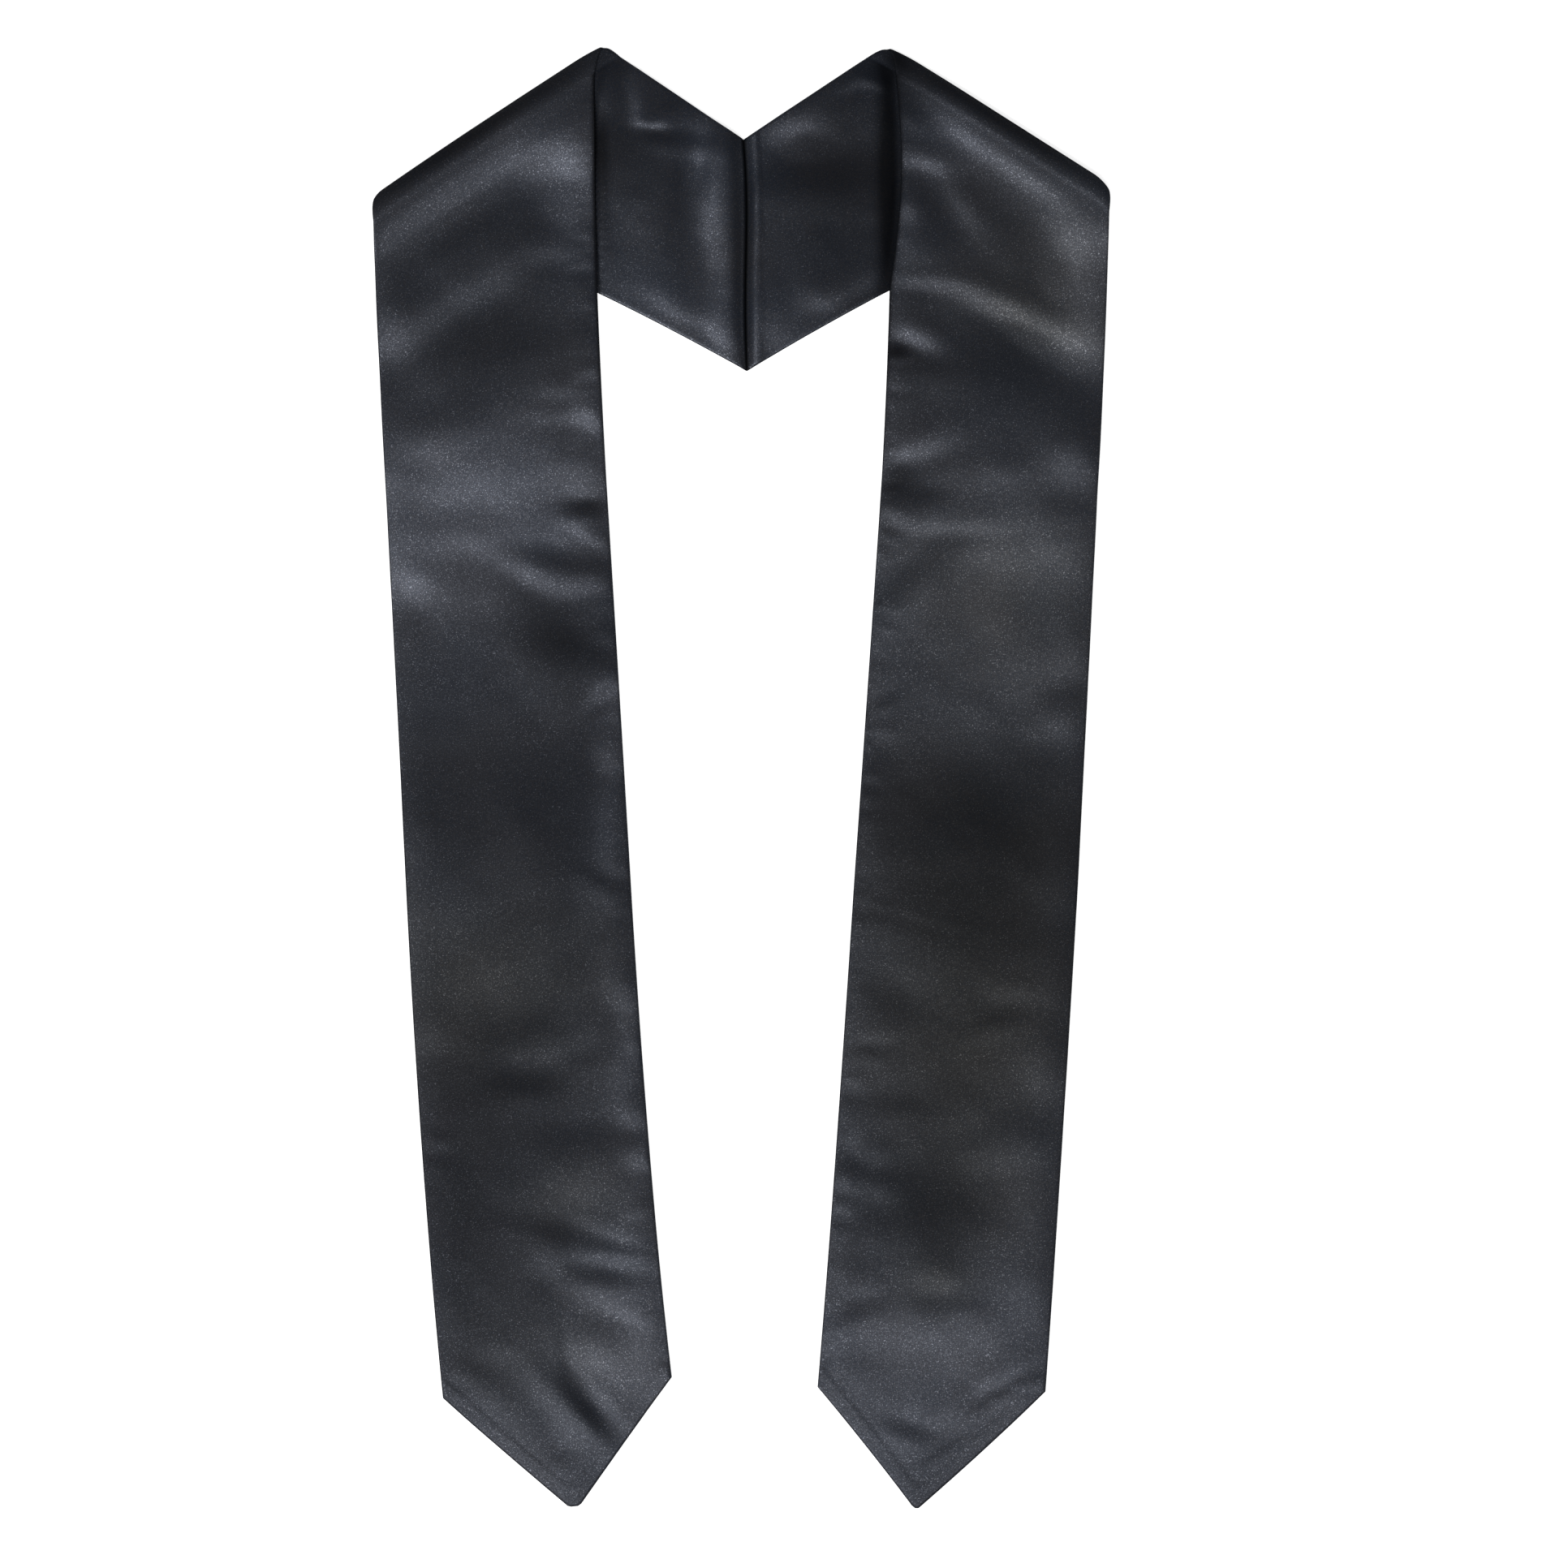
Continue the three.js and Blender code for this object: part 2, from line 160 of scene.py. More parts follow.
# Soft folds of the strip, where the photograph shows them. x, y, long and wide are in its
# pixels, and turn is in degrees anticlockwise from its lower edge. A fold climbs across
# itself by tilt, in degrees: a slope that faces the lower edge is bright and has a
# positive tilt. rise is the height of a ridge in millimetres.
Fold = namedtuple("Fold", "x y long wide turn tilt rise", defaults=[0])
PANEL_FOLDS = {
    "left": [
        # shoulder
        Fold(585, 236, 80, 9, 34, 4),
        Fold(692, 208, 38, 50, 5, 7),
        Fold(572, 290, 55, 22, 33, -5),
        Fold(565, 376, 85, 20, 33, 7),
        Fold(682, 316, 30, 14, 0, 4),
        Fold(485, 425, 22, 38, 0, 6),
        Fold(722, 297, 14, 6, -25, 4),
        Fold(722, 329, 14, 4, 15, 4),
        Fold(720, 345, 14, 8, 0, -4),
        Fold(722, 380, 10, 12, 0, 5),
        Fold(625, 430, 85, 45, 22, -4),
        Fold(727, 463, 13, 8, 25, 6),
        Fold(690, 487, 20, 12, 0, 6),
        Fold(702, 515, 34, 13, 0, 6),
        Fold(732, 527, 9, 15, 0, 6),
        Fold(567, 508, 40, 24, 10, -3),
        Fold(522, 553, 22, 20, 0, 3),
        Fold(708, 560, 18, 11, 0, -4),
        # upper panel
        Fold(585, 605, 95, 34, 0, 3),
        Fold(718, 627, 18, 11, 0, -10),
        Fold(725, 663, 22, 8, -28, 5),
        Fold(700, 690, 42, 14, -8, -6),
        Fold(565, 672, 50, 18, 0, 3),
        Fold(652, 709, 34, 15, -28, 5),
        Fold(720, 724, 26, 13, 14, 5),
        Fold(512, 725, 22, 26, 0, 5),
        Fold(690, 785, 42, 32, -25, -4),
        Fold(745, 790, 10, 10, 0, 4),
        Fold(744, 853, 20, 10, 45, 9),
        # middle
        Fold(625, 985, 130, 85, 0, -3),
        Fold(692, 930, 45, 22, 80, -2),
        Fold(747, 940, 14, 18, 0, 4),
        Fold(742, 1085, 18, 12, -30, -5),
        Fold(545, 1140, 22, 30, 0, 1.5),
        Fold(620, 1205, 60, 30, 35, 3.5),
        Fold(708, 1195, 70, 24, 52, -3),
        Fold(655, 1265, 35, 18, 20, -3),
        Fold(768, 1235, 14, 24, 0, 5),
        Fold(778, 1290, 10, 14, 0, 4),
        Fold(535, 1280, 27, 20, 10, 3),
        Fold(645, 1302, 27, 9, -3, 1.2),
        Fold(710, 1286, 40, 9, 22, 1.2),
        Fold(650, 1336, 38, 17, 0, -5),
        Fold(735, 1304, 24, 13, 20, -3),
        Fold(780, 1380, 12, 17, 0, 6),
        Fold(535, 1413, 14, 10, 0, 5),
        Fold(785, 1428, 14, 18, 0, 4),
        Fold(722, 1402, 42, 24, 0, -4),
        # end
        Fold(705, 1472, 34, 24, 0, 5),
        Fold(750, 1517, 38, 8, -22, 4),
        Fold(790, 1497, 12, 8, 20, 4),
        Fold(685, 1520, 36, 12, -15, -3.5),
        Fold(755, 1537, 36, 8, -8, -3.5),
        Fold(755, 1551, 46, 5, -2, 1.5),
        Fold(748, 1574, 34, 12, -8, -7),
        Fold(676, 1560, 14, 18, 0, 5),
        Fold(718, 1598, 34, 14, -35, 2),
        Fold(772, 1620, 30, 11, -25, 4),
        Fold(727, 1675, 24, 20, -30, 7),
        Fold(692, 1668, 26, 8, -80, -4),
        Fold(725, 1741, 30, 11, -49, -11),
        Fold(742, 1720, 42, 6, -49, 4),
        Fold(672, 1725, 45, 16, -55, 3.5),
        Fold(615, 1668, 20, 14, 0, 3),
        Fold(602, 1702, 32, 14, -38, -2.5),
        Fold(691, 1797, 13, 16, 0, -4),
        Fold(570, 1713, 13, 8, 0, -4),
    ],
    "right": [
        # shoulder
        Fold(1225, 187, 95, 11, -34, 5),
        Fold(1120, 126, 30, 16, -34, -7),
        Fold(1328, 300, 32, 60, -20, 7),
        Fold(1340, 400, 25, 50, 0, 5),
        Fold(1138, 203, 26, 14, -10, 8),
        Fold(1178, 250, 38, 15, -55, 6),
        Fold(1152, 285, 38, 26, -50, -6),
        Fold(1118, 266, 12, 14, 0, 8),
        Fold(1107, 299, 8, 8, 0, 5),
        Fold(1135, 351, 34, 9, -3, 7),
        Fold(1215, 374, 45, 16, -22, 8),
        Fold(1297, 418, 48, 24, -33, 8),
        Fold(1185, 440, 62, 42, -15, -5),
        Fold(1130, 420, 24, 14, -25, 9),
        Fold(1106, 430, 9, 8, 0, -7),
        Fold(1110, 447, 14, 4, 5, 5),
        Fold(1107, 478, 12, 9, 0, 3),
        Fold(1165, 510, 55, 24, 0, -3),
        Fold(1128, 560, 28, 15, 22, 7),
        Fold(1106, 577, 11, 7, 20, -7),
        Fold(1325, 576, 28, 30, 0, 7),
        Fold(1230, 590, 40, 18, 0, 3),
        # upper panel
        Fold(1128, 612, 30, 15, 0, -7),
        Fold(1096, 601, 12, 4, 0, -7),
        Fold(1320, 626, 36, 12, 0, -1.5),
        Fold(1097, 635, 10, 12, 0, 6),
        Fold(1100, 658, 9, 7, 0, -5),
        Fold(1240, 690, 80, 42, 0, 2.5),
        Fold(1165, 652, 45, 11, 0, 5),
        Fold(1128, 706, 42, 20, 46, -9),
        Fold(1096, 770, 8, 7, 0, -5),
        Fold(1088, 866, 20, 7, 35, -7),
        Fold(1085, 893, 9, 7, 0, -3),
        Fold(1087, 908, 16, 13, 0, 5),
        Fold(1073, 962, 9, 6, 0, 6),
        Fold(1322, 855, 28, 20, 20, -4),
        Fold(1300, 905, 30, 24, 0, 4),
        # middle
        Fold(1190, 1000, 110, 75, 0, -4),
        Fold(1115, 1128, 52, 6, -15, 3),
        Fold(1250, 1155, 70, 36, 0, -2),
        Fold(1140, 1215, 45, 30, -50, 2),
        Fold(1245, 1224, 42, 15, -10, 2),
        Fold(1175, 1312, 46, 38, 0, 2),
        Fold(1083, 1233, 24, 28, 0, -3),
        Fold(1225, 1257, 26, 13, 20, -4),
        Fold(1068, 1295, 12, 8, 0, -6),
        Fold(1085, 1279, 16, 7, 0, 2.5),
        Fold(1053, 1338, 10, 12, 0, 4),
        Fold(1288, 1340, 22, 36, 0, 3),
        Fold(1090, 1362, 32, 16, 0, -3),
        Fold(1258, 1423, 42, 24, 8, 2),
        Fold(1195, 1408, 24, 18, 40, -4),
        Fold(1085, 1430, 16, 14, 0, 5),
        Fold(1085, 1472, 16, 18, 0, 5),
        Fold(1047, 1436, 12, 17, 0, -6),
        Fold(1037, 1492, 9, 9, 0, 6),
        Fold(1165, 1500, 50, 50, 0, -4),
        # end
        Fold(1153, 1581, 22, 16, 0, 5),
        Fold(1182, 1607, 42, 10, -3, -1.5),
        Fold(1055, 1588, 30, 10, -10, 2.5),
        Fold(1050, 1620, 34, 13, 25, -6),
        Fold(1150, 1645, 90, 32, 0, 1.5),
        Fold(1260, 1600, 35, 32, 0, 1.5),
        Fold(1225, 1704, 48, 9, 30, 2.5),
        Fold(1222, 1722, 28, 9, 33, -6),
        Fold(1264, 1700, 22, 8, 25, -4),
        Fold(1118, 1763, 24, 12, -15, -6),
        Fold(1160, 1788, 24, 7, 32, -6),
        Fold(1168, 1752, 26, 12, 30, 4),
        Fold(1262, 1714, 26, 3, -3, 0, -0.3),
    ],
}
NECK_FOLDS = {
    "left": [
        Fold(746, 119, 17, 7, 85, 0, 1.2),
        Fold(787, 122, 22, 6, 92, 0, 1.3),
        Fold(804, 151, 16, 6, -5, 0, 1.2),
        Fold(822, 140, 11, 6, 50, 0, 1.0),
        Fold(768, 107, 20, 7, 85, 0, -0.6),
        Fold(832, 170, 38, 11, -8, -8),
        Fold(870, 208, 46, 18, -106, 13),
        Fold(882, 312, 95, 24, -86, 11),
        Fold(830, 380, 55, 30, -28, 3.5),
        Fold(840, 400, 45, 18, -25, 5),
        Fold(790, 290, 60, 75, 0, 3),
    ],
    "right": [
        Fold(976, 160, 22, 22, 30, 9),
        Fold(1012, 218, 60, 28, 0, -7),
        Fold(1055, 106, 20, 8, 25, 7),
        Fold(1087, 109, 8, 8, 0, 6),
        Fold(1073, 93, 9, 8, 0, -9),
        Fold(1010, 373, 18, 17, 0, 5),
        Fold(1062, 371, 30, 10, 28, -7),
        Fold(952, 410, 15, 28, 0, 4),
    ],
}

# Broad patches of painted highlight and painted shade, placed as the folds are: they scale
# the satin's body colour and gloss. A gain of 0.5 adds half of the plain satin's gloss.
PAINTED_LIGHT_RANGE = (0.25, 1.8)
Patch = namedtuple("Patch", "x y long wide turn gain")
PANEL_PAINTED_LIGHT = {
    "left": [
        Patch(604, 155, 150, 9, 33, -0.55),
        Patch(688, 185, 45, 38, 0, 0.6),
        Patch(706, 265, 24, 65, 0, 0.45),
        Patch(560, 236, 85, 18, 33, 0.25),
        Patch(728, 505, 16, 42, 0, 0.35),
        Patch(500, 420, 40, 60, 30, 0.15),
        Patch(590, 440, 80, 45, 25, -0.20),
        Patch(585, 640, 110, 68, 0, 0.9),
        Patch(690, 560, 50, 40, 0, 0.15),
        Patch(690, 788, 50, 38, -15, -0.35),
        Patch(722, 628, 18, 9, 0, -0.5),
        Patch(690, 700, 45, 12, -10, -0.3),
        Patch(504, 708, 22, 34, 0, 0.3),
        Patch(748, 850, 14, 16, 40, 0.7),
        Patch(570, 985, 100, 110, 0, -0.20),
        Patch(705, 970, 35, 80, 0, -0.18),
        Patch(752, 960, 13, 70, -2, 0.4),
        Patch(772, 1290, 12, 60, -3, 0.35),
        Patch(785, 1440, 12, 50, -3, 0.3),
        Patch(690, 1145, 50, 60, 0, -0.2),
        Patch(680, 1340, 80, 60, 0, -0.20),
        Patch(568, 1480, 70, 165, 4, -0.38),
        Patch(705, 1470, 45, 28, 0, -0.05),
        Patch(778, 1640, 38, 70, 8, 0.45),
        Patch(690, 1740, 110, 70, 0, 0.2),
        Patch(722, 1738, 38, 10, -49, -0.25),
    ],
    "right": [
        Patch(1228, 148, 145, 9, -31.5, -0.55),
        Patch(1128, 118, 34, 22, -34, -0.25),
        Patch(1104, 80, 12, 24, 0, -0.4),
        Patch(1135, 203, 26, 14, -20, 0.3),
        Patch(1117, 272, 12, 24, 0, 0.35),
        Patch(1130, 416, 24, 12, -20, 0.5),
        Patch(1104, 436, 12, 7, 20, -0.5),
        Patch(1128, 556, 28, 12, 22, 0.4),
        Patch(1106, 590, 16, 9, 20, -0.4),
        Patch(1335, 320, 38, 80, 0, 0.5),
        Patch(1250, 212, 95, 22, -38, 0.5),
        Patch(1165, 168, 36, 18, -30, 0.4),
        Patch(1180, 308, 50, 26, 0, 0.2),
        Patch(1270, 395, 70, 22, -25, 0.25),
        Patch(1335, 420, 30, 40, 0, 0.3),
        Patch(1180, 470, 80, 35, -10, -0.18),
        Patch(1245, 735, 110, 100, 0, 0.42),
        Patch(1255, 635, 75, 40, 0, 0.35),
        Patch(1120, 600, 40, 25, 0, -0.15),
        Patch(1200, 1010, 110, 80, 0, -0.30),
        Patch(1215, 1130, 110, 70, 0, -0.3),
        Patch(1180, 1330, 80, 80, 0, -0.2),
        Patch(1145, 1490, 60, 75, 0, -0.25),
        Patch(1260, 1480, 40, 90, 0, 0.12),
        Patch(1150, 1700, 120, 70, 0, 0.32),
        Patch(1150, 1638, 100, 18, 0, 0.1),
    ],
}
NECK_PAINTED_LIGHT = {
    "left": [
        Patch(868, 200, 18, 40, 20, 0.5),
        Patch(884, 312, 18, 100, 0, 0.32),
        Patch(907, 290, 7, 120, 0, -0.35),
        Patch(800, 330, 50, 60, 0, 0.12),
        Patch(832, 385, 50, 26, -25, 0.45),
        Patch(740, 190, 7, 90, 0, -0.55),
        Patch(745, 75, 16, 16, 0, -0.3),
        Patch(787, 122, 9, 26, 0, 0.45),
        Patch(806, 151, 20, 8, -5, 0.45),
        Patch(746, 112, 8, 24, 0, 0.35),
        Patch(770, 180, 40, 22, 0, -0.20),
    ],
    "right": [
        Patch(972, 158, 28, 20, 30, 0.4),
        Patch(1040, 240, 55, 90, 0, -0.35),
        Patch(1094, 215, 9, 150, 0, -0.75),
        Patch(1092, 75, 16, 20, 0, -0.4),
        Patch(980, 400, 50, 40, 20, 0.25),
    ],
}

# Patches where the panels' satin is warmer: a gain of 1 is the warmest
WARM_PATCHES = {
    "left": [
        Patch(600, 1215, 110, 80, 0, 0.8),
        Patch(705, 1470, 60, 40, 0, 0.5),
        Patch(670, 1660, 80, 60, 0, 0.3),
    ],
    "right": [
        Patch(1290, 330, 60, 80, 0, 0.5),
        Patch(1270, 395, 80, 25, -25, 0.5),
        Patch(1240, 730, 110, 100, 0, 0.65),
        Patch(1210, 1040, 100, 100, 0, 0.65),
        Patch(1200, 1245, 100, 90, 0, 0.9),
        Patch(1185, 1440, 80, 100, 0, 0.6),
        Patch(1155, 1580, 30, 25, 0, 0.5),
    ],
}

# Satin. Sizes are in millimetres, and colours are shares of the light that is sent back.
# The rows of four are a range of the noise and the range that it is turned into.
GRAIN = 0.72
GRAIN_DEPTH = 0.04
GLINT = (0.34, 0.70, 0, 0.79)
SPARK = 0.6  # size of the sparse threads that glint most
SPARK_GLINT = (0.71, 0.76, 0, 2.2)
DULL_THREAD = (0.196, 0.208, 0.240)
BRIGHT_THREAD = (0.75, 0.785, 0.885)
DRAWN_OUT = 0.3  # the gloss is longer along the threads
HAZE = 0.12  # the smooth part of the gloss, over the grain
HAZE_ROUGHNESS = 0.6
HUE_GRAIN = 1.7 * GRAIN
HUE_PATCH = 60
HUE_SHIFT = (0.8, 1.2, 0, 1)
HUES = ((0.99, 1.0, 1.035), (1.035, 1.0, 0.9))  # of cool and warm satin
SATINS = {
    "face": dict(cool=(0.0136, 0.0159, 0.0215), warm=(0.0192, 0.0194, 0.0224), roughness=0.42),
    "backing": dict(cool=(0.0132, 0.0162, 0.0230), warm=(0.0200, 0.0204, 0.0240), roughness=0.40),
}

# Studio. Places and sizes are in metres, and powers in watts.
CAMERA_HEIGHT = 4.5
FLOOR_SIDE = 8
FLOOR_DROP = 0.0003  # keeps the floor clear of the cloth that lies on it
FLOOR_GREY = 0.9
FLOOR_GLOW = 0.8
WORLD_LIGHT = 0.04
LAMPS = {  # place, width and height, and power
    "key": ((-0.45, -2.05, 4.3), (4.0, 1.8), 114),
    "left": ((-2.9, -1.4, 3.7), (1.4, 2.6), 62),
    "right": ((4.4, 0.4, 1.3), (1.2, 3.0), 14),
    "back": ((0, 4.6, 1.5), (5.0, 1.4), 20),
}

# Net of each layer: the farther from an edge, the wider its cells, in millimetres
EDGE_STEPS = [0, 0.3, 0.7, 1.3, 2.1, 3.2, 4.5, 6]
CELL = 1.9
FOLD_STEPS = 26  # rows round the shoulder fold


def frame_point(x, y):
    """A pixel of the photograph as a place in the frame, in millimetres."""
    return (x - PHOTO_ORIGIN[0]) * PIXEL, (PHOTO_ORIGIN[1] - y) * PIXEL


def smoothstep(value, low, high):
    share = np.clip((value - low) / (high - low), 0, 1)
    return share * share * (3 - 2 * share)


def lattice_noise(u, v, cell, seed):
    """Smooth noise from -1 to 1 with one random value for each cell."""
    size = 512
    values = np.random.default_rng(seed).uniform(-1, 1, (size, size))
    i, j = np.floor(u / cell).astype(int), np.floor(v / cell).astype(int)
    a, b = smoothstep(u / cell - i, 0, 1), smoothstep(v / cell - j, 0, 1)
    corner = lambda di, dj: values[(i + di) % size, (j + dj) % size]
    low = corner(0, 0) * (1 - a) + corner(1, 0) * a
    high = corner(0, 1) * (1 - a) + corner(1, 1) * a
    return low * (1 - b) + high * b


def waves(rows, u, v, seed):
    """Small random waves, from rows of a height and a length."""
    layers = [rise * lattice_noise(u, v, cell, seed + i) for i, (rise, cell) in enumerate(rows)]
    return sum(layers)


def spread(length, first=EDGE_STEPS, last=EDGE_STEPS):
    """Places from 0 to length: fine steps at both ends and even ones between them."""
    start, end = np.array(first, float), length - np.array(last, float)[::-1]
    count = max(2, round((end[0] - start[-1]) / CELL))
    return np.concatenate([start, np.linspace(start[-1], end[0], count + 1)[1:-1], end])


class Half:
    """The middle surface of one half, between its two layers. s is the share of the
    strip's width from its inner edge, and l a length down the panel."""

    def __init__(self, name):
        self.name = name
        self.lay = LAYS[name]
        self.side = self.lay["side"]
        self.lengths = np.linspace(-WIDTH, HALF_LENGTH, 2000)
        lean = self.lean(self.lengths)
        step = self.lengths[1] - self.lengths[0]
        self.down_x = np.cumsum(-np.sin(lean)) * step
        self.down_y = np.cumsum(-np.cos(lean)) * step
        for line in (self.down_x, self.down_y):
            line -= np.interp(0, self.lengths, line)
        self.start = (0, 0)
        inner = self.panel(self.fold_line(0), 0)
        self.start = (self.lay["inner_out"] - inner[0], FOLD_RISE - inner[1])
        inner, outer = (np.array(self.panel(self.fold_line(s), s)) for s in (0, 1))
        self.fold_length = np.hypot(*(outer - inner))
        self.fold_direction = (outer - inner) / self.fold_length
        self.fold_normal = np.array([-self.fold_direction[1], self.fold_direction[0]])
        roll_arc = math.pi * (math.hypot(ROLL_DEPTH, ROLL_HEIGHT / 2) * math.sqrt(0.5) + LAID)
        down = -np.array([math.sin(self.lean(0)), math.cos(self.lean(0))])
        self.fold_shift = roll_arc / math.tan(math.acos(self.fold_direction @ down))
        neck_length = np.hypot(*(np.array(self.neck_end(0.5)) - [0, -BACK_SEAM / 2]))
        self.panel_length = HALF_LENGTH + self.lay["longer"] - neck_length - roll_arc

    def along(self, l, key):
        return np.interp(l / HALF_LENGTH, self.lay["along"], self.lay[key])

    def lean(self, l):
        return np.radians(self.along(l, "lean"))

    def width(self, l):
        return WIDTH * self.along(l, "width")

    def panel(self, l, s):
        lean, across = self.lean(l), (s - 0.5) * self.width(l)
        bow = np.sin(math.pi * np.clip((l - BOW_SPAN[0]) / (BOW_SPAN[1] - BOW_SPAN[0]), 0, 1))
        across = across + self.lay["bow"] * bow * (1 - s) ** 3
        x = self.start[0] + np.interp(l, self.lengths, self.down_x) + np.cos(lean) * across
        y = self.start[1] + np.interp(l, self.lengths, self.down_y) - np.sin(lean) * across
        return x, y

    def fold_line(self, s):
        return (s - 0.5) * self.width(0) * math.tan(math.radians(self.lay["fold_slant"]))

    def roll_height(self, s):
        opened = smoothstep(s * self.fold_length, 0, ROLL_OPEN)
        return ROLL_HEIGHT * (ROLL_PINCH + (1 - ROLL_PINCH) * opened)

    def peak(self, s):
        """How near the fold's inner end is, from 0 to 1."""
        return np.clip(1 - s * self.fold_length / PEAK_RUN, 0, 1)

    def top(self, s):
        elbow = np.clip(1 - (1 - s) * self.fold_length / self.lay["elbow_run"], 0, 1)
        drop = self.lay["elbow_drop"] * elbow**2
        return self.fold_line(s) + drop + self.lay["peak_drop"] * self.peak(s) ** 2

    def end(self, s):
        tip = 0.5 + self.lay["tip_shift"] / WIDTH
        flat = self.lay["tip_flat"] / WIDTH / 2
        rise = np.where(s < tip, s / (tip - flat), (1 - s) / (1 - tip - flat))
        from_tip = 1 - np.clip(rise, 0, 1)
        return self.panel_length - from_tip * (POINT_LENGTH + (s - 0.5) * self.lay["end_skew"])

    def neck_end(self, s):
        shift = self.fold_shift + self.lay["neck_reach"] * self.peak(s)
        x, y = self.panel(self.top(s), s)
        return x - self.fold_direction[0] * shift, y - self.fold_direction[1] * shift

    def seam_x(self, s):
        wave = SEAM_WAVE * np.sin(2 * math.pi * s * BACK_SEAM / (2 * SEAM_WAVE_LENGTH)) * (1 - s)
        return self.side * (SEAM_SHIFT * s + wave)

    def neck(self, s, u):
        end_x, end_y = self.neck_end(s)
        x = (self.seam_x(s) - SEAM_OVERLAP) * (1 - u) + end_x * u
        y = -s * BACK_SEAM * (1 - u) + end_y * u
        return x, y + 4 * NECK_BOW * s * u * (1 - u)


def parting(distance):
    """How far the two layers have parted at a distance from a sewn edge, from 0 to 1."""
    return 1 - (1 - np.clip(distance / EDGE_ROLL, 0, 1)) ** 2


def rim(distance):
    """Share of the thickness at a distance from a turned edge."""
    return np.sqrt(1 - (1 - np.clip(distance / RIM, 0, 1)) ** 2)


def fold_heights(folds, x, y):
    """Height that the folds add at places in the frame."""
    height = np.zeros_like(x)
    for fold in folds:
        centre_x, centre_y = frame_point(fold.x, fold.y)
        turn = math.radians(fold.turn)
        dx, dy = x - centre_x, y - centre_y
        p = (dx * math.cos(turn) + dy * math.sin(turn)) / (fold.long * PIXEL)
        q = (dy * math.cos(turn) - dx * math.sin(turn)) / (fold.wide * PIXEL)
        step = math.tan(math.radians(FOLD_TILT * fold.tilt)) * fold.wide * PIXEL
        height += (fold.rise + step * q) * np.exp(-(p**2 + q**2) / 2)
    return height


def patch_gains(patches, x, y):
    """Sum of the patches' gains at places in the frame."""
    return fold_heights([Fold(*patch[:5], tilt=0, rise=patch.gain) for patch in patches], x, y)


def gloss(patches, x, y):
    """Painted light at places in the frame: a share that scales the satin's colour and gloss,
    above 1 a painted highlight and below 1 painted shade.
    """
    return np.clip(1 + patch_gains(patches, x, y), *PAINTED_LIGHT_RANGE)


def warmth(patches, x, y):
    """How warm the satin is at places in the frame, from 0 to 1."""
    return np.clip(patch_gains(patches, x, y), 0, 1)


def smooth_floor(height):
    """Keeps a height above zero without a crease."""
    return (height + np.sqrt(height**2 + FLOOR_BLEND)) / 2


def edge_swell(opened):
    """Share of the waves' height where the layers have parted by opened."""
    return EDGE_SWELL + (1 - EDGE_SWELL) * opened


def neck_net(half, s, to_frame):
    """The neck, from the back seam to the shoulder fold."""
    neck_length = half.neck_end(0.5)[0]
    u = (spread(neck_length, last=[0])[:-1] / neck_length)[:, None]
    x, y = half.neck(s, u)
    from_seam = x - half.seam_x(s)
    to_side = np.minimum(s, 1 - s) * BACK_SEAM * half.fold_direction[0]
    edge_l = half.top(0) + np.maximum(0, half.panel(half.top(0), 0)[1] - y)
    shown = smoothstep(half.panel(edge_l, 0)[0] - x, 0, SHOWN_RUN[half.name])
    dip = 1 - (1 - np.clip(from_seam / SEAM_RUN, 0, 1)) ** 2
    dipped = SEAM_DIP[half.name]
    raised = smoothstep(from_seam, *GROOVE[half.name])

    height = NECK_SWELL + fold_heights(NECK_FOLDS[half.name], *to_frame(x, y))
    height += waves(NECK_WAVES, x, y, half.lay["seed"])
    height = smooth_floor(height) * shown * (dipped + (1 - dipped) * dip)
    height *= smoothstep((1 - u) * half.neck_end(s)[0], 0, NECK_END)
    z = LAID + height * raised * edge_swell(parting(to_side))
    welt = raised * (1 - smoothstep(from_seam, WELT_WIDTH, WELT_WIDTH + WELT_SLOPE))
    lift = parting(to_side) * NECK_PUFF * shown * dip
    lift += half.lay["welt_rise"] * welt * rim(to_side)

    # Painted highlights and painted shade from the patches
    painted_light_share = gloss(NECK_PAINTED_LIGHT[half.name], *to_frame(x, y))
    # Painted shade in the seam's groove
    painted_light_share *= 1 - SEAM_PAINTED_SHADE * np.exp(-((from_seam / SEAM_PAINTED_SHADE_RUN) ** 2))
    # A painted highlight line along the welt
    from_line = (from_seam - WELT_HIGHLIGHT[0] * WELT_WIDTH) / (WELT_HIGHLIGHT[1] * WELT_WIDTH)
    painted_light_share *= 1 + half.lay["welt_highlight"] * np.exp(-(from_line**2))
    none = np.zeros_like(x)
    edge = np.minimum(to_side, from_seam)
    return dict(x=x, y=y, z=z, face=none, backing=lift, edge=edge, gloss=painted_light_share, warmth=none)


